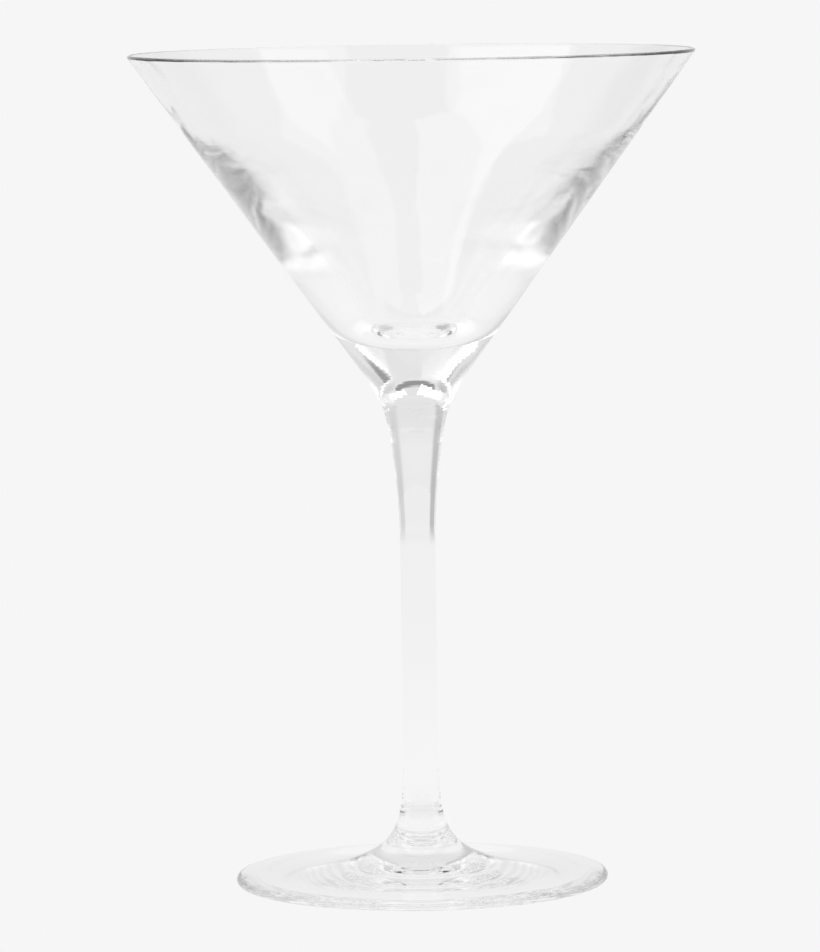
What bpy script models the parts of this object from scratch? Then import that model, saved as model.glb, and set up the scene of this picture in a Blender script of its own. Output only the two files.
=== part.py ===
"""A stemmed cocktail glass: a conical bowl, a drawn stem and a round foot.

Blender 4.5, metres, +Z up. The origin is the centre of the circle that the foot rests on.
Each of the three gathers of glass is a turned solid of its own. The thin gaps between them
mark the two hot welds where the glassmaker joins them.
"""

from math import cos, radians, sin, tan

import bpy

MM = 0.001

# Driving dimensions of the whole glass
HEIGHT = 177.2 * MM
RIM_RADIUS = 60.0 * MM
FOOT_RADIUS = 39.7 * MM
CONE_ANGLE = 35.85  # degrees between the bowl's outside and the axis
CONE_SLOPE = tan(radians(CONE_ANGLE))  # radius gained by the cone per metre of height

# The two welds
UPPER_WELD_Z = 92.8 * MM
UPPER_WELD_RADIUS = 5.2 * MM
LOWER_WELD_Z = 16.3 * MM
LOWER_WELD_RADIUS = 4.4 * MM
WELD_GAP = 0.3 * MM

# The bowl
LIP_THICKNESS = 0.9 * MM
WALL_BEND_Z = 162.0 * MM  # the wall is nearly even above this height and thickens below it
WALL_AT_BEND = 1.1 * MM
FLOOR_CORNER = (13.2 * MM, 124.2 * MM)  # radius and height where the floor turns up into the wall
FLOOR_CORNER_ANGLE = 40.5  # degrees between the inside and the axis at that corner
FLOOR_Z = 118.4 * MM
FLOOR_FLAT_RADIUS = 6.5 * MM
CONE_FOOT_Z = 109.0 * MM  # where the straight cone ends and the neck begins

# The stem
STEM_RADIUS = 3.73 * MM
STEM_TOP_Z = 70.0 * MM  # the stem is an even rod below this height

# The foot
EDGE_THICKNESS = 2.1 * MM
FLARE_END_RADIUS = 16.0 * MM  # where the flare meets the shallow top of the foot
FLARE_END_Z = 4.9 * MM
REST_RING_INNER_RADIUS = 35.0 * MM
HOLLOW_DEPTH = 1.5 * MM

# How finely the shapes are divided
AROUND = 64
CURVE_STEPS = 7
ARC_STEPS = 6
MERGE_DISTANCE = 0.01 * MM


def bezier(start, start_handle, end_handle, end, steps=CURVE_STEPS):
    """Points (radius, height) on a cubic curve, with both ends."""
    points = []
    for step in range(steps + 1):
        t = step / steps
        u = 1 - t
        weights = (u**3, 3 * u * u * t, 3 * u * t * t, t**3)
        corners = (start, start_handle, end_handle, end)
        radius = sum(w * p[0] for w, p in zip(weights, corners))
        height = sum(w * p[1] for w, p in zip(weights, corners))
        points.append((radius, height))
    return points


def arc(centre, radius, first_deg, last_deg, steps=ARC_STEPS):
    """Points on a round stretch. Angles are measured from the +radius direction towards +height."""
    points = []
    for step in range(steps + 1):
        angle = radians(first_deg + (last_deg - first_deg) * step / steps)
        points.append((centre[0] + radius * cos(angle), centre[1] + radius * sin(angle)))
    return points


def straight(start, end, steps):
    """The points between two ends, without the ends."""
    return [
        tuple(a + (b - a) * step / steps for a, b in zip(start, end))
        for step in range(1, steps)
    ]


def stepped(point, angle, length):
    """The point a length further up a line at this angle to the axis."""
    return point[0] + length * sin(radians(angle)), point[1] + length * cos(radians(angle))


def lip_centre():
    """Middle of the lip's rounded edge."""
    return RIM_RADIUS - LIP_THICKNESS / 2, HEIGHT - LIP_THICKNESS / 2


def cone_radius(height):
    """Radius of the bowl's straight outside, which leaves the lip at a tangent."""
    middle_radius, middle_height = lip_centre()
    tangent_radius = middle_radius + LIP_THICKNESS / 2 * cos(radians(CONE_ANGLE))
    tangent_height = middle_height - LIP_THICKNESS / 2 * sin(radians(CONE_ANGLE))
    return tangent_radius - CONE_SLOPE * (tangent_height - height)


def bowl_profile():
    """From the middle of the inside floor, up the inside, over the lip and down the outside."""
    across = 1 / cos(radians(CONE_ANGLE))  # a wall's horizontal width over its thickness
    middle, lip_radius = lip_centre(), LIP_THICKNESS / 2
    lip = (
        arc(middle, lip_radius, 180 - CONE_ANGLE, 90, 2)
        + arc(middle, lip_radius, 90, 0, 3)[1:]
        + arc(middle, lip_radius, 0, -CONE_ANGLE, 1)[1:]
    )

    floor_middle = (0.0, FLOOR_Z)
    floor = bezier(
        floor_middle,
        (FLOOR_FLAT_RADIUS, FLOOR_Z),
        stepped(FLOOR_CORNER, FLOOR_CORNER_ANGLE, -5.0 * MM),
        FLOOR_CORNER,
    )
    wall_bend = (cone_radius(WALL_BEND_Z) - WALL_AT_BEND * across, WALL_BEND_Z)
    inside = bezier(
        FLOOR_CORNER,
        stepped(FLOOR_CORNER, FLOOR_CORNER_ANGLE, 18.0 * MM),
        stepped(wall_bend, CONE_ANGLE, -10.0 * MM),
        wall_bend,
    )[1:]

    cone_foot = (cone_radius(CONE_FOOT_Z), CONE_FOOT_Z)
    outside = straight(lip[-1], cone_foot, 4)
    bottom_z = UPPER_WELD_Z + WELD_GAP / 2
    neck = bezier(
        cone_foot,
        stepped(cone_foot, CONE_ANGLE, -5.0 * MM),
        (UPPER_WELD_RADIUS + 0.9 * MM, bottom_z + 8.0 * MM),
        (UPPER_WELD_RADIUS, bottom_z),
    )
    return floor + inside + lip + outside + neck + [(0.0, bottom_z)]


def stem_profile():
    """Down the stem from the upper weld to the lower one."""
    top_z = UPPER_WELD_Z - WELD_GAP / 2
    bottom_z = LOWER_WELD_Z + WELD_GAP / 2
    rod_top = (STEM_RADIUS, STEM_TOP_Z)
    shoulder = bezier(
        (UPPER_WELD_RADIUS, top_z),
        (UPPER_WELD_RADIUS - 0.45 * MM, top_z - 4.3 * MM),
        (STEM_RADIUS, STEM_TOP_Z + 12.0 * MM),
        rod_top,
    )
    rod = bezier(
        rod_top,
        (STEM_RADIUS, STEM_TOP_Z - 20.0 * MM),
        (LOWER_WELD_RADIUS - 1.1 * MM, bottom_z + 5.2 * MM),
        (LOWER_WELD_RADIUS, bottom_z),
    )
    return [(0.0, top_z)] + shoulder + rod[1:] + [(0.0, bottom_z)]


def foot_profile():
    """From the lower weld down the flare, out over the top, round the edge and under to the middle."""
    top_z = LOWER_WELD_Z - WELD_GAP / 2
    flare = bezier(
        (LOWER_WELD_RADIUS, top_z),
        (LOWER_WELD_RADIUS + 0.7 * MM, top_z - 2.8 * MM),
        (LOWER_WELD_RADIUS + 1.6 * MM, FLARE_END_Z + 1.9 * MM),
        (FLARE_END_RADIUS, FLARE_END_Z),
    )
    edge_radius = EDGE_THICKNESS / 2
    edge = arc((FOOT_RADIUS - edge_radius, edge_radius), edge_radius, 86, -90)
    top = bezier(
        flare[-1],
        (FLARE_END_RADIUS + 6.0 * MM, FLARE_END_Z - 1.14 * MM),
        (edge[0][0] - 7.0 * MM, edge[0][1] + 0.5 * MM),
        edge[0],
        4,
    )
    hollow = bezier(
        (REST_RING_INNER_RADIUS, 0.0),
        (0.8 * REST_RING_INNER_RADIUS, 0.7 * HOLLOW_DEPTH),
        (0.4 * REST_RING_INNER_RADIUS, HOLLOW_DEPTH),
        (0.0, HOLLOW_DEPTH),
    )
    return [(0.0, top_z)] + flare + top[1:] + edge[1:] + hollow


def clear_glass(name, colour, roughness):
    """Clear soda-lime glass."""
    material = bpy.data.materials.new(name)
    material.use_nodes = True
    shader = material.node_tree.nodes["Principled BSDF"]
    shader.inputs["Base Color"].default_value = (*colour, 1.0)
    shader.inputs["Metallic"].default_value = 0.0
    shader.inputs["Roughness"].default_value = roughness
    shader.inputs["IOR"].default_value = 1.52
    shader.inputs["Transmission Weight"].default_value = 1.0
    return material


def turned(name, profile, material):
    """One solid of revolution about +Z from a profile whose outer side runs downwards."""
    mesh = bpy.data.meshes.new(name)
    vertices = [(radius, 0.0, height) for radius, height in profile]
    edges = [(i, i + 1) for i in range(len(profile) - 1)]
    mesh.from_pydata(vertices, edges, [])
    solid = bpy.data.objects.new(name, mesh)
    bpy.context.scene.collection.objects.link(solid)
    screw = solid.modifiers.new("turn", "SCREW")
    screw.axis = "Z"
    screw.angle = radians(360)
    screw.steps = AROUND
    screw.render_steps = AROUND
    screw.use_smooth_shade = True
    screw.use_merge_vertices = True
    screw.merge_threshold = MERGE_DISTANCE
    mesh.materials.append(material)
    return solid


def main():
    for old in list(bpy.data.objects):
        bpy.data.objects.remove(old, do_unlink=True)
    glass = bpy.data.objects.new("cocktail_glass", None)
    bpy.context.scene.collection.objects.link(glass)
    pieces = (
        turned("bowl", bowl_profile(), clear_glass("bowl glass", (0.96, 0.97, 0.97), 0.02)),
        turned("stem", stem_profile(), clear_glass("stem glass", (0.95, 0.96, 0.96), 0.02)),
        turned("foot", foot_profile(), clear_glass("foot glass", (0.95, 0.96, 0.96), 0.03)),
    )
    for piece in pieces:
        piece.parent = glass


main()
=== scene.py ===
# %% [markdown]
# # A stemmed cocktail glass
# The glass is three gathers of clear glass, fused while hot: a blown conical bowl, a drawn
# stem and a pressed foot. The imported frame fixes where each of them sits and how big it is.
# This lesson turns a smooth profile for each one, gives it the small unevenness of worked
# glass, and lights it so that the clear glass shows: pale all round, with a few darker areas
# for it to bend and mirror.

# %% Load the frame
from collections import namedtuple
from math import cos, pi, radians, sin, tan

import bpy
from mathutils import Matrix, Vector


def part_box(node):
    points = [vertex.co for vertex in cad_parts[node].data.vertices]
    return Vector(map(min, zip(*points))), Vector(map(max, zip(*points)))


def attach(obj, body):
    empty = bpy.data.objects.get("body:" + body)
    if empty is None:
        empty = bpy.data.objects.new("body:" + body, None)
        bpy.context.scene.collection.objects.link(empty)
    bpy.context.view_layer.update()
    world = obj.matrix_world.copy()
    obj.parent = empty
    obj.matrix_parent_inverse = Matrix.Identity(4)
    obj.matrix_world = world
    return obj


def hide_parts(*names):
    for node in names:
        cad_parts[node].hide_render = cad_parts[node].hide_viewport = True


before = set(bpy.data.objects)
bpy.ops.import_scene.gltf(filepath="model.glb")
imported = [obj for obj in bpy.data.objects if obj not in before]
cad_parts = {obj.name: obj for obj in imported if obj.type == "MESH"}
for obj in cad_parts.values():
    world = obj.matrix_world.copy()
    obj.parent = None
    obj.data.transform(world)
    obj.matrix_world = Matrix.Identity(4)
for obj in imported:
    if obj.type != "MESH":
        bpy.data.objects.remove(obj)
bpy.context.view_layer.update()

# %% [markdown]
# ## The sizes that everything follows
# The bowl's lip, the two hot welds and the foot's edge are read from the frame's own boxes,
# so the fine surfaces land where the plain solids are. The solids leave a thin gap at each
# weld; the real glass is fused there, so each weld is put in the middle of its gap.

# %% Read the driving sizes
MM = 0.001
MICROMETRE = 1e-6

bowl_low, bowl_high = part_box("bowl")
stem_low, stem_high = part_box("stem")
foot_low, foot_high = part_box("foot")

height = bowl_high.z
rim_radius = (bowl_high.x - bowl_low.x) / 2
foot_radius = (foot_high.x - foot_low.x) / 2
upper_weld_z = (bowl_low.z + stem_high.z) / 2
lower_weld_z = (stem_low.z + foot_high.z) / 2
upper_weld_radius = stem_high.x
lower_weld_radius = 4.4 * MM

cone_angle = 35.85  # degrees between the bowl's outside and the axis
cone_slope = tan(radians(cone_angle))
print("welds at", round(upper_weld_z, 5), round(lower_weld_z, 5))

# %% [markdown]
# ## Curves for a turned profile
# A profile is a list of points, each a radius and a height. Straight runs need few points,
# but the surface is later made slightly uneven, so they are divided too. Round stretches
# are arcs, and the soft transitions that hot glass takes are cubic curves, each with a pull
# at its two ends that says how long it keeps the direction it starts or ends in.

# %% Profile helpers
def bezier(start, start_handle, end_handle, end, steps):
    """Points on a cubic curve, without the first."""
    points = []
    for step in range(1, steps + 1):
        t = step / steps
        u = 1 - t
        weights = (u**3, 3 * u * u * t, 3 * u * t * t, t**3)
        corners = (start, start_handle, end_handle, end)
        points.append(tuple(sum(w * p[i] for w, p in zip(weights, corners)) for i in (0, 1)))
    return points


def arc(centre, radius, first_deg, last_deg, steps):
    """Points on a round stretch, without the first."""
    points = []
    for step in range(1, steps + 1):
        angle = radians(first_deg + (last_deg - first_deg) * step / steps)
        points.append((centre[0] + radius * cos(angle), centre[1] + radius * sin(angle)))
    return points


def straight(start, end, steps):
    """Points on a straight run, without the first."""
    return [tuple(a + (b - a) * s / steps for a, b in zip(start, end)) for s in range(1, steps + 1)]


def stepped(point, angle, length):
    """The point a length further up a line at this angle to the axis."""
    return (point[0] + length * sin(radians(angle)), point[1] + length * cos(radians(angle)))


# %% [markdown]
# ## Small helpers for node trees
# Node trees are long to write out in full, because every node is made, set and linked in
# lines of its own. A few helpers take a number or another node's output alike, so that a
# formula in nodes reads nearly like a formula. They work in geometry and in shader trees.

# %% Node helpers
def link(tree, source, target):
    tree.links.new(source, target)


def fill(tree, node, values):
    """Sets a node's inputs by name. Each value is a constant or a socket."""
    for name, value in values.items():
        if isinstance(value, bpy.types.NodeSocket):
            link(tree, value, node.inputs[name])
        else:
            node.inputs[name].default_value = value


def math_node(tree, operation, first, second=None):
    """A Math node. Each value is a number or a socket. Returns its output."""
    node = tree.nodes.new("ShaderNodeMath")
    node.operation = operation
    for socket, value in zip(node.inputs, (first, second)):
        if value is None:
            continue
        if isinstance(value, (int, float)):
            socket.default_value = value
        else:
            link(tree, value, socket)
    return node.outputs[0]


def product(tree, first, *others):
    """All of the values multiplied together."""
    for other in others:
        first = math_node(tree, "MULTIPLY", first, other)
    return first


def smooth_step(tree, value, low, high):
    """0 below the low value, 1 above the high one, and a soft rise between them."""
    node = tree.nodes.new("ShaderNodeMapRange")
    node.interpolation_type = "SMOOTHSTEP"
    fill(tree, node, {"Value": value, "From Min": low, "From Max": high})
    return node.outputs["Result"]


def smooth_drop(tree, value, low, high):
    """1 below the low value, 0 above the high one, and a soft fall between them."""
    return math_node(tree, "SUBTRACT", 1.0, smooth_step(tree, value, low, high))


def mix(tree, factor, low, high):
    """The low value where the factor is 0 and the high one where it is 1."""
    node = tree.nodes.new("ShaderNodeMix")
    node.data_type = "FLOAT"
    fill(tree, node, {"Factor": factor, "A": low, "B": high})
    return node.outputs["Result"]


# %% [markdown]
# ## A lathe in Geometry Nodes
# Everything here is round, so one node tree turns any profile. A Spin or a Screw would turn
# it too, but a tree can also carry the unevenness and the materials. First it lays a grid
# with one row for each profile point, reads that point for each row, and wraps the columns
# round the axis. The seam and the poles are then merged.

# %% Wrap a grid round the axis
merge_distance = 1e-6  # only points that fall on one another


def wrapped_grid(tree, given):
    """The profile turned about the axis, as one closed mesh."""
    size = tree.nodes.new("GeometryNodeAttributeDomainSize")
    link(tree, given.outputs["Geometry"], size.inputs[0])
    rows = size.outputs["Point Count"]
    grid = tree.nodes.new("GeometryNodeMeshGrid")
    columns = math_node(tree, "ADD", given.outputs["Around"], 1)
    fill(tree, grid, {"Size X": 1.0, "Size Y": 1.0, "Vertices X": columns, "Vertices Y": rows})

    place = tree.nodes.new("GeometryNodeInputPosition")
    split = tree.nodes.new("ShaderNodeSeparateXYZ")
    link(tree, place.outputs[0], split.inputs[0])
    along = math_node(tree, "ADD", split.outputs["Y"], 0.5)
    last_row = math_node(tree, "SUBTRACT", rows, 1)
    row = math_node(tree, "ROUND", product(tree, along, last_row))
    angle = product(tree, math_node(tree, "ADD", split.outputs["X"], 0.5), 2 * pi)

    profile_place = tree.nodes.new("GeometryNodeInputPosition")
    sample = tree.nodes.new("GeometryNodeSampleIndex")
    sample.data_type = "FLOAT_VECTOR"
    sample.domain = "POINT"
    link(tree, given.outputs["Geometry"], sample.inputs["Geometry"])
    link(tree, profile_place.outputs[0], sample.inputs["Value"])
    link(tree, row, sample.inputs["Index"])
    point = tree.nodes.new("ShaderNodeSeparateXYZ")
    link(tree, sample.outputs[0], point.inputs[0])

    radius = point.outputs["X"]
    around = tree.nodes.new("ShaderNodeCombineXYZ")
    link(tree, product(tree, radius, math_node(tree, "COSINE", angle)), around.inputs["X"])
    link(tree, product(tree, radius, math_node(tree, "SINE", angle)), around.inputs["Y"])
    link(tree, point.outputs["Z"], around.inputs["Z"])
    wrap = tree.nodes.new("GeometryNodeSetPosition")
    link(tree, grid.outputs["Mesh"], wrap.inputs["Geometry"])
    link(tree, around.outputs[0], wrap.inputs["Position"])
    merge = tree.nodes.new("GeometryNodeMergeByDistance")
    merge.inputs["Distance"].default_value = merge_distance
    link(tree, wrap.outputs[0], merge.inputs["Geometry"])
    return merge.outputs[0]


# %% [markdown]
# ## The waves of worked glass
# Blown glass is never quite even. The blower's tools leave low waves a centimetre or so
# long, too low to see as shape, and still plain to see because they bend what is mirrored
# in the wall. They are real movement of the surface along its normal, from a smooth noise
# with a fixed seed, and they fade out towards the solid base, which was shaped while stiff.

# %% Push the surface into waves
wave_fade = 12 * MM  # the height over which the waves grow to their full size
wave_detail, wave_roughness = 2.0, 0.35  # how much finer movement the waves carry


def with_waves(tree, given, shape):
    """The shape with a smooth noise moving it along its normal."""
    spot = tree.nodes.new("GeometryNodeInputPosition")
    split = tree.nodes.new("ShaderNodeSeparateXYZ")
    link(tree, spot.outputs[0], split.inputs[0])
    noise = tree.nodes.new("ShaderNodeTexNoise")
    noise.noise_dimensions = "4D"
    fill(tree, noise, {"Detail": wave_detail, "Roughness": wave_roughness})
    link(tree, spot.outputs[0], noise.inputs["Vector"])
    link(tree, given.outputs["Seed"], noise.inputs["W"])
    link(tree, given.outputs["Waves per metre"], noise.inputs["Scale"])

    centred = math_node(tree, "SUBTRACT", noise.outputs[0], 0.5)
    above = math_node(tree, "SUBTRACT", split.outputs["Z"], given.outputs["Calm below"])
    faded = tree.nodes.new("ShaderNodeClamp")
    link(tree, math_node(tree, "DIVIDE", above, wave_fade), faded.inputs[0])
    push = product(tree, centred, given.outputs["Wave height"], faded.outputs[0])

    normal = tree.nodes.new("GeometryNodeInputNormal")
    scaled = tree.nodes.new("ShaderNodeVectorMath")
    scaled.operation = "SCALE"
    link(tree, normal.outputs[0], scaled.inputs[0])
    link(tree, push, scaled.inputs["Scale"])
    wave = tree.nodes.new("GeometryNodeSetPosition")
    link(tree, shape, wave.inputs["Geometry"])
    link(tree, scaled.outputs[0], wave.inputs["Offset"])
    return wave.outputs[0]


# %% [markdown]
# ## Shading and the faces inside a weld
# The whole surface is shaded smooth, apart from edges that turn sharply, such as the rims of
# the flat faces inside the welds. Those faces aren't there on the real glass. They close the
# pieces, as solids need, and get a material of their own that can be made invisible.

# %% Shade the surface and pick out the weld faces
sharp_angle = radians(50)
flush_distance = 2e-6  # a face this near a weld's plane lies in it


def shaded(tree, shape):
    """The shape shaded smooth, with its sharp edges left sharp."""
    bend = tree.nodes.new("GeometryNodeInputMeshEdgeAngle")
    sharp = tree.nodes.new("FunctionNodeCompare")
    sharp.operation = "GREATER_THAN"
    sharp.inputs[1].default_value = sharp_angle
    link(tree, bend.outputs["Unsigned Angle"], sharp.inputs[0])
    smooth = tree.nodes.new("GeometryNodeSetShadeSmooth")
    smooth.domain = "EDGE"
    smooth.inputs["Shade Smooth"].default_value = False
    link(tree, shape, smooth.inputs["Geometry"])
    link(tree, sharp.outputs[0], smooth.inputs["Selection"])
    return smooth.outputs[0]


def with_materials(tree, given, shape):
    """The glass material everywhere, and the fused face's in the planes of the welds."""
    glass = tree.nodes.new("GeometryNodeSetMaterial")
    link(tree, shape, glass.inputs["Geometry"])
    link(tree, given.outputs["Glass"], glass.inputs["Material"])
    spot = tree.nodes.new("GeometryNodeInputPosition")
    split = tree.nodes.new("ShaderNodeSeparateXYZ")
    link(tree, spot.outputs[0], split.inputs[0])
    flush = []
    for weld in ("Weld bottom", "Weld top"):
        above = math_node(tree, "SUBTRACT", split.outputs["Z"], given.outputs[weld])
        away = math_node(tree, "ABSOLUTE", above)
        flush.append(math_node(tree, "LESS_THAN", away, flush_distance))
    fused = tree.nodes.new("GeometryNodeSetMaterial")
    link(tree, glass.outputs[0], fused.inputs["Geometry"])
    link(tree, math_node(tree, "MAXIMUM", *flush), fused.inputs["Selection"])
    link(tree, given.outputs["Fused face"], fused.inputs["Material"])
    return fused.outputs[0]


# %% [markdown]
# ## Put the lathe together
# The named inputs are the sizes and materials that differ from piece to piece. The tree ends
# in Realize Instances and Set Material, so that what comes out is one plain mesh.

# %% Build the lathe
LATHE_INPUTS = (
    ("Around", "NodeSocketInt", 256),
    ("Wave height", "NodeSocketFloat", 0.0),
    ("Waves per metre", "NodeSocketFloat", 60.0),
    ("Calm below", "NodeSocketFloat", -1.0),
    ("Weld bottom", "NodeSocketFloat", -1.0),
    ("Weld top", "NodeSocketFloat", 10.0),
    ("Seed", "NodeSocketFloat", 0.0),
    ("Glass", "NodeSocketMaterial", None),
    ("Fused face", "NodeSocketMaterial", None),
)


def build_lathe():
    tree = bpy.data.node_groups.new("lathe", "GeometryNodeTree")
    face = tree.interface
    face.new_socket("Geometry", in_out="INPUT", socket_type="NodeSocketGeometry")
    for name, kind, value in LATHE_INPUTS:
        socket = face.new_socket(name, in_out="INPUT", socket_type=kind)
        if value is not None:
            socket.default_value = value
    face.new_socket("Geometry", in_out="OUTPUT", socket_type="NodeSocketGeometry")
    given = tree.nodes.new("NodeGroupInput")
    shape = shaded(tree, with_waves(tree, given, wrapped_grid(tree, given)))
    real = tree.nodes.new("GeometryNodeRealizeInstances")
    link(tree, shape, real.inputs[0])
    done = tree.nodes.new("NodeGroupOutput")
    link(tree, with_materials(tree, given, real.outputs[0]), done.inputs[0])
    return tree


lathe = build_lathe()
print("lathe nodes", len(lathe.nodes))

# %% [markdown]
# ## Turn a profile into a piece
# The profile becomes a chain of points, the lathe works on it, and its result is copied to a
# plain mesh with nothing live on it. A mesh whose faces point inwards has a negative volume,
# which is the surest way to notice, so the volume is measured and the mesh flipped if needed.

# %% Turn a profile
def set_inputs(modifier, values):
    """Sets a node modifier's inputs by the identifiers of its named sockets."""
    items = modifier.node_group.interface.items_tree
    identifiers = {item.name: item.identifier for item in items if item.in_out == "INPUT"}
    for name, value in values.items():
        modifier[identifiers[name]] = value


def signed_volume(mesh):
    mesh.calc_loop_triangles()
    total = 0.0
    for triangle in mesh.loop_triangles:
        a, b, c = (mesh.vertices[i].co for i in triangle.vertices)
        total += a.dot(b.cross(c)) / 6
    return total


def turn(name, profile, **inputs):
    """A plain mesh object turned from a profile, with the lathe's inputs as keywords."""
    outline = bpy.data.meshes.new(name + "_outline")
    edges = [(i, i + 1) for i in range(len(profile) - 1)]
    outline.from_pydata([(r, 0, z) for r, z in profile], edges, [])
    blank = bpy.data.objects.new(name + "_outline", outline)
    bpy.context.scene.collection.objects.link(blank)
    modifier = blank.modifiers.new("lathe", "NODES")
    modifier.node_group = lathe
    set_inputs(modifier, {key.replace("_", " ").capitalize(): value for key, value in inputs.items()})
    bpy.context.view_layer.update()
    graph = bpy.context.evaluated_depsgraph_get()
    mesh = bpy.data.meshes.new_from_object(blank.evaluated_get(graph))
    bpy.data.objects.remove(blank)
    bpy.data.meshes.remove(outline)
    if signed_volume(mesh) < 0:
        mesh.flip_normals()
    mesh.name = name
    piece = bpy.data.objects.new(name, mesh)
    bpy.context.scene.collection.objects.link(piece)
    print(name, len(mesh.polygons), "faces,", round(signed_volume(mesh) * 1e6, 2), "cm3")
    return piece


# %% [markdown]
# ## The finish of worked glass
# Up close, clear glass has a finish too: ripples a few micrometres high from the tools and
# the mould, faint marks where a cloth has wiped it, and here and there a seed, which is a
# bubble the size of a pinprick. A seed really lies inside the wall, but one so small can be
# shown by a low bump on the surface, which bends light much as it does and needs no mesh.
# The three kinds of glass have all this in different measure, so it is one shader group. It
# puts out only a colour, a roughness and a height.

# %% A shader group for worked glass
ripple_detail = 2.0
streak_stretch = 0.3  # wipe marks run up and down, so height counts for less
streaks_per_metre, streak_detail = 60.0, 3.0
streak_from, streak_to = 0.52, 0.78  # how much of the noise counts as a mark
seed_size = 0.04  # as a share of the cell that holds the seed
seed_height = 40.0  # micrometres

WORKED_GLASS_INPUTS = (
    ("Ripples per metre", "NodeSocketFloat", 150.0),
    ("Ripple height", "NodeSocketFloat", 1.0),
    ("Wipe marks", "NodeSocketFloat", 0.02),
    ("Seeds per metre", "NodeSocketFloat", 90.0),
    ("Seed share", "NodeSocketFloat", 0.03),
    ("Clear colour", "NodeSocketColor", (0.995, 0.995, 0.995, 1)),
    ("Hazy colour", "NodeSocketColor", (0.985, 0.985, 0.985, 1)),
)
WORKED_GLASS_OUTPUTS = (
    ("Colour", "NodeSocketColor"),
    ("Roughness", "NodeSocketFloat"),
    ("Height", "NodeSocketFloat"),
)


def wipe_marks(tree, place):
    """0 on clean glass and 1 in the middle of a wipe mark."""
    lengthened = tree.nodes.new("ShaderNodeVectorMath")
    lengthened.operation = "MULTIPLY"
    link(tree, place, lengthened.inputs[0])
    lengthened.inputs[1].default_value = (1.0, 1.0, streak_stretch)
    streaks = tree.nodes.new("ShaderNodeTexNoise")
    fill(tree, streaks, {"Scale": streaks_per_metre, "Detail": streak_detail})
    link(tree, lengthened.outputs[0], streaks.inputs["Vector"])
    return smooth_step(tree, streaks.outputs[0], streak_from, streak_to)


def seeds(tree, place, per_metre, share):
    """The height of the seeds, in micrometres. Only a share of the cells hold one."""
    cells = tree.nodes.new("ShaderNodeTexVoronoi")
    fill(tree, cells, {"Vector": place, "Scale": per_metre})
    dome = smooth_drop(tree, cells.outputs["Distance"], 0.0, seed_size)
    pick = tree.nodes.new("ShaderNodeSeparateColor")
    link(tree, cells.outputs["Color"], pick.inputs[0])
    seeded = math_node(tree, "LESS_THAN", pick.outputs["Red"], share)
    return product(tree, dome, seeded, seed_height)


def worked_glass_group():
    tree = bpy.data.node_groups.new("worked_glass", "ShaderNodeTree")
    for name, kind, value in WORKED_GLASS_INPUTS:
        socket = tree.interface.new_socket(name, in_out="INPUT", socket_type=kind)
        socket.default_value = value
    for name, kind in WORKED_GLASS_OUTPUTS:
        tree.interface.new_socket(name, in_out="OUTPUT", socket_type=kind)
    given = tree.nodes.new("NodeGroupInput")
    done = tree.nodes.new("NodeGroupOutput")
    place = tree.nodes.new("ShaderNodeTexCoord").outputs["Object"]

    ripples = tree.nodes.new("ShaderNodeTexNoise")
    per_metre = given.outputs["Ripples per metre"]
    fill(tree, ripples, {"Vector": place, "Scale": per_metre, "Detail": ripple_detail})
    rippled = product(tree, ripples.outputs[0], given.outputs["Ripple height"])
    bubbles = seeds(tree, place, given.outputs["Seeds per metre"], given.outputs["Seed share"])
    link(tree, math_node(tree, "ADD", rippled, bubbles), done.inputs["Height"])

    wiped = wipe_marks(tree, place)
    link(tree, product(tree, wiped, given.outputs["Wipe marks"]), done.inputs["Roughness"])
    tint = tree.nodes.new("ShaderNodeMix")
    tint.data_type = "RGBA"
    link(tree, wiped, tint.inputs["Factor"])
    link(tree, given.outputs["Clear colour"], tint.inputs["A"])
    link(tree, given.outputs["Hazy colour"], tint.inputs["B"])
    link(tree, tint.outputs["Result"], done.inputs["Colour"])
    return tree


worked_glass = worked_glass_group()
print("worked glass nodes", len(worked_glass.nodes))

# %% [markdown]
# ## The three kinds of glass
# Clear soda-lime glass has no colour to speak of, and bends light with an index of about
# 1.52. The bowl and the stem are fire polished, and the stem has the lowest ripples. It was
# drawn out hot, which stretches any seeds until they no longer show. The foot was pressed,
# so it has the highest ripples, and it gathers the most wipe marks.
# The fused face lets light straight through, because the real glass has nothing there.

# %% Glass materials
glass_index = 1.52


def glass_material(name, **detail):
    """Clear glass. Its shader group's inputs are given as keywords."""
    material = bpy.data.materials.new(name)
    material.use_nodes = True
    tree = material.node_tree
    shader = tree.nodes["Principled BSDF"]
    shader.inputs["IOR"].default_value = glass_index
    shader.inputs["Transmission Weight"].default_value = 1.0
    surface = tree.nodes.new("ShaderNodeGroup")
    surface.node_tree = worked_glass
    fill(tree, surface, {key.replace("_", " ").capitalize(): value for key, value in detail.items()})
    bump = tree.nodes.new("ShaderNodeBump")
    bump.inputs["Distance"].default_value = MICROMETRE
    link(tree, surface.outputs["Height"], bump.inputs["Height"])
    link(tree, surface.outputs["Colour"], shader.inputs["Base Color"])
    link(tree, surface.outputs["Roughness"], shader.inputs["Roughness"])
    link(tree, bump.outputs["Normal"], shader.inputs["Normal"])
    return material


bowl_glass = glass_material("clear_bowl_glass", ripples_per_metre=160.0, ripple_height=2.0)
stem_glass = glass_material(
    "clear_stem_glass", ripples_per_metre=220.0, ripple_height=1.0, seed_share=0.0
)
foot_glass = glass_material(
    "clear_foot_glass", ripples_per_metre=240.0, ripple_height=3.0, wipe_marks=0.03
)

fused_face = bpy.data.materials.new("fused_face")
fused_face.use_nodes = True
fused_face.node_tree.nodes["Principled BSDF"].inputs["Alpha"].default_value = 0.0
print("glasses", [glass.name for glass in (bowl_glass, stem_glass, foot_glass)])

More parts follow.
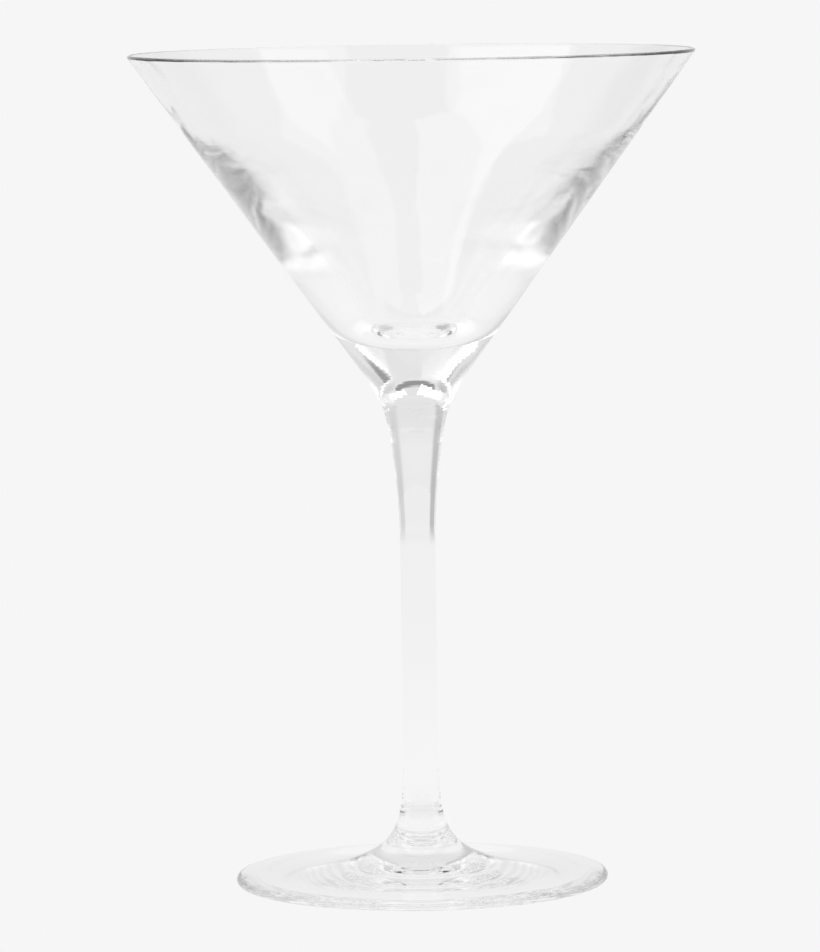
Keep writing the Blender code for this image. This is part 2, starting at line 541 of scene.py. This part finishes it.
# %% [markdown]
# ## The bowl
# The outside is a straight cone that ends in a solid base and rounds into the neck. The
# inside starts nearly parallel to it, so the wall is even for a little way under the lip.
# Then it opens a little wider than the outside does, so the wall thickens steadily down to
# a small rounded floor. That thickening is what makes the dark crescents low on both edges:
# there the light is turned back inside the wall instead of passing through.

# %% The bowl's sizes
lip_thickness = 0.9 * MM
wall_at_bend = 1.1 * MM  # the inside leaves its parallel run here and the wall thickens
wall_bend_z = 162.0 * MM
floor_z = 118.4 * MM
floor_flat_radius = 6.5 * MM
floor_corner = (13.2 * MM, 124.2 * MM)
floor_corner_angle = 40.5
floor_pull, wall_pull, bend_pull = 5.0 * MM, 18.0 * MM, 10.0 * MM
cone_foot_z = 109.0 * MM
neck_pull = 5.0 * MM
neck_weld_flare, neck_weld_rise = 0.9 * MM, 8.0 * MM
wave_calm_z = 112.0 * MM  # the waves grow from here upwards

lip_radius = lip_thickness / 2
lip_centre = (rim_radius - lip_radius, height - lip_radius)
tangent_run = lip_radius * cos(radians(cone_angle))
tangent_rise = lip_radius * sin(radians(cone_angle))
lip_inside = (lip_centre[0] - tangent_run, lip_centre[1] + tangent_rise)
lip_outside = (lip_centre[0] + tangent_run, lip_centre[1] - tangent_rise)


def cone_radius(z):
    """Radius of the bowl's straight outside, which leaves the lip at a tangent."""
    return lip_outside[0] - cone_slope * (lip_outside[1] - z)


wall_bend = (cone_radius(wall_bend_z) - wall_at_bend / cos(radians(cone_angle)), wall_bend_z)
cone_foot = (cone_radius(cone_foot_z), cone_foot_z)
wall_at_corner = (cone_radius(floor_corner[1]) - floor_corner[0]) * cos(radians(cone_angle))
print("wall", round(wall_at_bend / MM, 1), "mm, and", round(wall_at_corner / MM, 1), "mm by the floor")

# %% [markdown]
# ## From the floor, over the lip, to the weld
# The outline starts at the middle of the floor, climbs the inside, rolls over the lip and
# comes down the outside to the neck and the weld. The bowl could be a bare cone that Solidify
# thickens, but that gives an even wall. A wall that changes its thickness is easier to draw
# as one closed outline. The bowl has twice as many columns as the rest, for its waves.

# %% Turn the bowl
floor_middle = (0.0, floor_z)
bowl_outline = [floor_middle]
bowl_outline += bezier(
    floor_middle,
    (floor_flat_radius, floor_z),
    stepped(floor_corner, floor_corner_angle, -floor_pull),
    floor_corner,
    steps=24,
)
bowl_outline += bezier(
    floor_corner,
    stepped(floor_corner, floor_corner_angle, wall_pull),
    stepped(wall_bend, cone_angle, -bend_pull),
    wall_bend,
    steps=40,
)
bowl_outline += straight(wall_bend, lip_inside, steps=24)
bowl_outline += arc(lip_centre, lip_radius, 180 - cone_angle, -cone_angle, steps=16)
bowl_outline += straight(bowl_outline[-1], cone_foot, steps=56)
bowl_outline += bezier(
    cone_foot,
    stepped(cone_foot, cone_angle, -neck_pull),
    (upper_weld_radius + neck_weld_flare, upper_weld_z + neck_weld_rise),
    (upper_weld_radius, upper_weld_z),
    steps=16,
)
bowl_outline.append((0.0, upper_weld_z))
bowl = turn(
    "blown_bowl",
    bowl_outline,
    around=512,
    wave_height=0.13 * MM,
    waves_per_metre=70.0,
    calm_below=wave_calm_z,
    seed=5.0,
    weld_bottom=upper_weld_z,
    glass=bowl_glass,
    fused_face=fused_face,
)

# %% [markdown]
# ## The stem
# A solid rod, drawn out of the bowl's base: widest at the upper weld, slimmest below its middle
# and spreading again just above the foot. A cylinder with a taper would look machined. Two
# cubic curves that share a tangent where they meet give the even pull of drawn glass.

# %% Turn the stem
stem_radius = 3.73 * MM
stem_top_z = 70.0 * MM
shoulder_taper, shoulder_drop, shoulder_pull = 0.45 * MM, 4.3 * MM, 12.0 * MM
rod_pull = 20.0 * MM
ankle_taper, ankle_rise = 1.1 * MM, 5.2 * MM

stem_outline = [(0.0, upper_weld_z), (upper_weld_radius, upper_weld_z)]
stem_outline += bezier(
    stem_outline[-1],
    (upper_weld_radius - shoulder_taper, upper_weld_z - shoulder_drop),
    (stem_radius, stem_top_z + shoulder_pull),
    (stem_radius, stem_top_z),
    steps=32,
)
stem_outline += bezier(
    stem_outline[-1],
    (stem_radius, stem_top_z - rod_pull),
    (lower_weld_radius - ankle_taper, lower_weld_z + ankle_rise),
    (lower_weld_radius, lower_weld_z),
    steps=48,
)
stem_outline.append((0.0, lower_weld_z))
stem = turn(
    "drawn_stem",
    stem_outline,
    weld_bottom=lower_weld_z,
    weld_top=upper_weld_z,
    glass=stem_glass,
    fused_face=fused_face,
)

# %% [markdown]
# ## The foot
# A flare spreads the stem onto a shallow cone with a rounded edge. Underneath, the glass
# rests on a flat ring, and the middle is hollowed a little so that it never rocks. It could
# be a disc with a bevel, but the flare, the slope, the edge and the hollow all run into one
# another, so they are turned from one outline too.

# %% Turn the foot
flare_end = (16.0 * MM, 4.9 * MM)
flare_widening, flare_drop = 0.7 * MM, 2.8 * MM
flare_sweep, flare_rise = 1.6 * MM, 1.9 * MM
edge_radius = 1.05 * MM
edge_top_angle = 86
inner_pull, inner_fall = 6.0 * MM, 1.14 * MM
outer_pull, outer_rise = 7.0 * MM, 0.5 * MM
rest_ring_inner_radius = 35.0 * MM
hollow_depth = 1.5 * MM
hollow_start = (0.8 * rest_ring_inner_radius, 0.7 * hollow_depth)
hollow_brow = (0.4 * rest_ring_inner_radius, hollow_depth)

foot_outline = [(0.0, lower_weld_z), (lower_weld_radius, lower_weld_z)]
foot_outline += bezier(
    foot_outline[-1],
    (lower_weld_radius + flare_widening, lower_weld_z - flare_drop),
    (lower_weld_radius + flare_sweep, flare_end[1] + flare_rise),
    flare_end,
    steps=32,
)
edge_centre = (foot_radius - edge_radius, edge_radius)
edge_top = arc(edge_centre, edge_radius, 0, edge_top_angle, steps=1)[0]
foot_outline += bezier(
    flare_end,
    (flare_end[0] + inner_pull, flare_end[1] - inner_fall),
    (edge_top[0] - outer_pull, edge_top[1] + outer_rise),
    edge_top,
    steps=64,
)
foot_outline += arc(edge_centre, edge_radius, edge_top_angle, -90, steps=16)
foot_outline += straight(foot_outline[-1], (rest_ring_inner_radius, 0.0), steps=2)
foot_outline += bezier(foot_outline[-1], hollow_start, hollow_brow, (0.0, hollow_depth), steps=32)
foot = turn(
    "pressed_foot",
    foot_outline,
    weld_top=lower_weld_z,
    glass=foot_glass,
    fused_face=fused_face,
)

# %% [markdown]
# ## The studio
# Clear glass shows only what it bends and mirrors, so the room matters more than the glass.
# It stands on a pale table before a pale wall. The wall is greyer to both sides, the room
# behind the camera is dark low down, and two windows high at the sides are mirrored by the
# bowl's far wall as two soft upright bands. Round the glass the camera should see only a
# plain pale ground, so the table and the room give its own rays that one shade.

# %% A soft panel in the distance
PALE = 0.9216

Panel = namedtuple("Panel", "azimuth elevation half_width half_height soft_edge brightness")

SOFT_PANEL_INPUTS = (
    ("Towards", "NodeSocketVector"),
    ("Right", "NodeSocketVector"),
    ("Up", "NodeSocketVector"),
    ("Half width", "NodeSocketFloat"),
    ("Half height", "NodeSocketFloat"),
    ("Soft edge", "NodeSocketFloat"),
)


def soft_panel_group():
    """A rectangle in the distance: 1 inside it, 0 outside, with a soft edge."""
    tree = bpy.data.node_groups.new("soft_panel", "ShaderNodeTree")
    for name, kind in SOFT_PANEL_INPUTS:
        tree.interface.new_socket(name, in_out="INPUT", socket_type=kind)
    tree.interface.new_socket("Mask", in_out="OUTPUT", socket_type="NodeSocketFloat")
    given = tree.nodes.new("NodeGroupInput")
    done = tree.nodes.new("NodeGroupOutput")
    look = tree.nodes.new("ShaderNodeTexCoord")

    def dot(axis):
        node = tree.nodes.new("ShaderNodeVectorMath")
        node.operation = "DOT_PRODUCT"
        link(tree, look.outputs["Generated"], node.inputs[0])
        link(tree, given.outputs[axis], node.inputs[1])
        return node.outputs["Value"]

    ahead = dot("Towards")
    safe = math_node(tree, "MAXIMUM", ahead, 1e-4)
    mask = math_node(tree, "GREATER_THAN", ahead, 0.0)
    half_edge = product(tree, given.outputs["Soft edge"], 0.5)
    back_edge = product(tree, given.outputs["Soft edge"], -0.5)
    for axis, half in (("Right", "Half width"), ("Up", "Half height")):
        away = math_node(tree, "ABSOLUTE", math_node(tree, "DIVIDE", dot(axis), safe))
        inside = math_node(tree, "SUBTRACT", given.outputs[half], away)
        mask = product(tree, mask, smooth_step(tree, inside, back_edge, half_edge))
    link(tree, mask, done.inputs[0])
    return tree


soft_panel = soft_panel_group()


def add_panel(tree, light, panel):
    """Mixes a panel into the light. Azimuth 0 is straight behind the glass, 90 to its right."""
    a, e = radians(panel.azimuth), radians(panel.elevation)
    towards = Vector((sin(a) * cos(e), cos(a) * cos(e), sin(e)))
    right = Vector((cos(a), -sin(a), 0))
    node = tree.nodes.new("ShaderNodeGroup")
    node.node_tree = soft_panel
    node.inputs["Towards"].default_value = towards
    node.inputs["Right"].default_value = right
    node.inputs["Up"].default_value = right.cross(towards)
    node.inputs["Half width"].default_value = tan(radians(panel.half_width))
    node.inputs["Half height"].default_value = tan(radians(panel.half_height))
    node.inputs["Soft edge"].default_value = panel.soft_edge
    return mix(tree, node.outputs["Mask"], light, panel.brightness)


print("soft panel nodes", len(soft_panel.nodes))

# %% [markdown]
# ## The pale table
# The table is a very large plane just under the foot. It gives off its own light, even where
# the camera sees it, so the studio is soft and no lamp is needed. What the glass sees of it is
# painted light and shade: a pool of painted light that falls slowly with distance, as a lit
# sweep of paper does, and painted shade far off to the two sides and far behind the camera.

# %% Make the table
table_half = 40.0
table_drop = 0.05 * MM  # keeps the table clear of the foot's rest ring

corners = [(x * table_half, y * table_half, 0) for x, y in ((-1, -1), (1, -1), (1, 1), (-1, 1))]
floor_mesh = bpy.data.meshes.new("studio_floor")
floor_mesh.from_pydata(corners, [], [(0, 1, 2, 3)])
studio_floor = bpy.data.objects.new("studio_floor", floor_mesh)
studio_floor.location.z = -table_drop
bpy.context.scene.collection.objects.link(studio_floor)
pale_floor = bpy.data.materials.new("pale_floor")
pale_floor.use_nodes = True
floor_mesh.materials.append(pale_floor)

tree = pale_floor.node_tree
shader = tree.nodes["Principled BSDF"]
shader.inputs["Base Color"].default_value = (0, 0, 0, 1)
shader.inputs["Specular IOR Level"].default_value = 0.0
shader.inputs["Emission Strength"].default_value = 1.0
print("table", 2 * table_half, "m square")

# %% [markdown]
# ## The table's painted light and shade
# The painted light and shade are worked out from the place on the table alone: how far it is
# from the glass, and in which direction. Two soft wedges of painted shade ahead to the sides
# and one wide wedge of it behind the camera come in with distance, so there is no edge near
# the glass.

# %% Light the table
near_light, far_light = 0.10, 0.60  # metres over which the table falls off
far_shade = 0.88
side_start, side_full, side_fading, side_end = (sin(radians(a)) for a in (29, 36, 53, 62))
side_near, side_far = 0.7, 1.3
side_front = 0.1  # the side patches begin this far ahead of the glass
# how strongly the painted shade darkens the table on the left and on the right
side_painted_shades = ((-1, 0.42), (1, 0.22))
rear_start, rear_full = cos(radians(112)), cos(radians(124))
rear_near, rear_far = 0.9, 2.2
# the painted shade far behind the camera
rear_shade = 0.25

place = tree.nodes.new("ShaderNodeNewGeometry")
spot = tree.nodes.new("ShaderNodeSeparateXYZ")
link(tree, place.outputs["Position"], spot.inputs[0])
length = tree.nodes.new("ShaderNodeVectorMath")
length.operation = "LENGTH"
link(tree, place.outputs["Position"], length.inputs[0])
distance = length.outputs["Value"]

# a pool of painted light round the glass, fading to the far shade
floor_light = mix(tree, smooth_step(tree, distance, near_light, far_light), PALE, far_shade)
# two wedges of painted shade to the sides
for side, painted_side_shade in side_painted_shades:
    outward = math_node(tree, "DIVIDE", product(tree, spot.outputs["X"], side), distance)
    patch = product(
        tree,
        smooth_step(tree, outward, side_start, side_full),
        smooth_drop(tree, outward, side_fading, side_end),
        smooth_step(tree, spot.outputs["Y"], 0.0, side_front),
        smooth_step(tree, distance, side_near, side_far),
    )
    floor_light = mix(tree, product(tree, patch, painted_side_shade), floor_light, 0.0)
ahead = math_node(tree, "DIVIDE", spot.outputs["Y"], distance)
rear = smooth_drop(tree, ahead, rear_full, rear_start)
rear = product(tree, rear, smooth_step(tree, distance, rear_near, rear_far))
floor_light = mix(tree, rear, floor_light, rear_shade)
# the camera's own rays see the plain pale shade, and only the glass sees the painted light and shade
rays = tree.nodes.new("ShaderNodeLightPath")
link(tree, mix(tree, rays.outputs["Is Camera Ray"], floor_light, PALE), shader.inputs["Emission Color"])
print("table nodes", len(tree.nodes))

# %% [markdown]
# ## The walls, the ceiling and the windows
# The room is the world's own light, worked out from the direction alone. Low down it is the
# wall, pale in front and dark behind the camera, with two grey panels and two bright ones.
# Higher up it is the ceiling, with one dark panel and the two windows.

# %% Light the room
WALL_PANELS = (
    Panel(-44, 14, 13, 22, 0.20, 0.50),
    Panel(46, 14, 15, 22, 0.25, 0.64),
    Panel(-100, 4, 12, 16, 0.10, 1.10),
    Panel(100, 4, 12, 16, 0.10, 1.05),
)
CEILING_PANELS = (
    Panel(4, 73, 28, 7, 0.10, 0.22),
    Panel(100, 58, 10.5, 17, 0.02, 1.5),
    Panel(-102, 64, 15, 22, 0.02, 1.7),
)
wall_foot_shade, wall_head_shade = 0.87, 0.77
room_shade = 0.20  # the low wall behind the camera
ceiling_rear_shade, ceiling_front_shade = 0.75, 0.80
ceiling_turn = (-0.05, 0.22)  # where the rear ceiling becomes the front one

world = bpy.data.worlds.new("studio")
bpy.context.scene.world = world
world.use_nodes = True
sky = world.node_tree
look = sky.nodes.new("ShaderNodeTexCoord")
direction = sky.nodes.new("ShaderNodeSeparateXYZ")
link(sky, look.outputs["Generated"], direction.inputs[0])
rise, ahead = direction.outputs["Z"], direction.outputs["Y"]


def climb(low_deg, high_deg):
    """0 below the low elevation and 1 above the high one."""
    return smooth_step(sky, rise, sin(radians(low_deg)), sin(radians(high_deg)))


wall = mix(sky, climb(-4, 14), wall_foot_shade, wall_head_shade)
low_down = product(sky, climb(-1, 3), math_node(sky, "SUBTRACT", 1.0, climb(16, 26)))
rear = smooth_drop(sky, ahead, rear_full, rear_start)
wall = mix(sky, product(sky, low_down, rear), wall, room_shade)
for panel in WALL_PANELS:
    wall = add_panel(sky, wall, panel)
turned_front = smooth_step(sky, ahead, *ceiling_turn)
ceiling = mix(sky, turned_front, ceiling_rear_shade, ceiling_front_shade)
light = mix(sky, climb(30, 40), wall, ceiling)
for panel in CEILING_PANELS:
    light = add_panel(sky, light, panel)
rays = sky.nodes.new("ShaderNodeLightPath")
shown = mix(sky, rays.outputs["Is Camera Ray"], light, PALE)
link(sky, shown, sky.nodes["Background"].inputs["Color"])
print("panels", len(WALL_PANELS) + len(CEILING_PANELS))

# %% [markdown]
# ## The camera
# A long lens from a little above the rim, so the mouth is a thin ellipse and the foot an
# open one. Light that enters the lip or the foot is mirrored inside the glass many times
# before it leaves, so every kind of bounce is allowed many steps: with few, those edges
# would turn black.

# %% Place the camera
camera_distance = 1.26
camera_height = 0.2095
aim = Vector((-1.46 * MM, 0, 87.05 * MM))
view_height = 202.5 * MM  # how much the camera takes in, from top to bottom, at the glass
roll = -0.8
sensor_width = 36
nearest, furthest = 0.05, 100
bounces = 48

camera_data = bpy.data.cameras.new("camera")
camera = bpy.data.objects.new("camera", camera_data)
bpy.context.scene.collection.objects.link(camera)
camera.location = (0, -camera_distance, camera_height)
towards = aim - camera.location
turned = towards.to_track_quat("-Z", "Y").to_matrix() @ Matrix.Rotation(radians(roll), 3, "Z")
camera.rotation_euler = turned.to_euler()
camera_data.sensor_width = sensor_width
camera_data.lens = sensor_width * towards.length / view_height
camera_data.clip_start = nearest
camera_data.clip_end = furthest
bpy.context.scene.camera = camera
bpy.context.scene.view_settings.view_transform = "Standard"

cycles = bpy.context.scene.cycles
cycles.max_bounces = cycles.glossy_bounces = bounces
cycles.transmission_bounces = cycles.transparent_max_bounces = bounces
print("lens", round(camera_data.lens, 1))

# %% [markdown]
# ## Hand the pieces to the frame
# Each fine piece stands for its plain solid and rides on the one rigid body. Nothing on a
# glass moves, so they all ride on the same one.

# %% Ride and replace
for piece, node in ((bowl, "bowl"), (stem, "stem"), (foot, "foot")):
    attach(piece, "root")
    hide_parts(node)
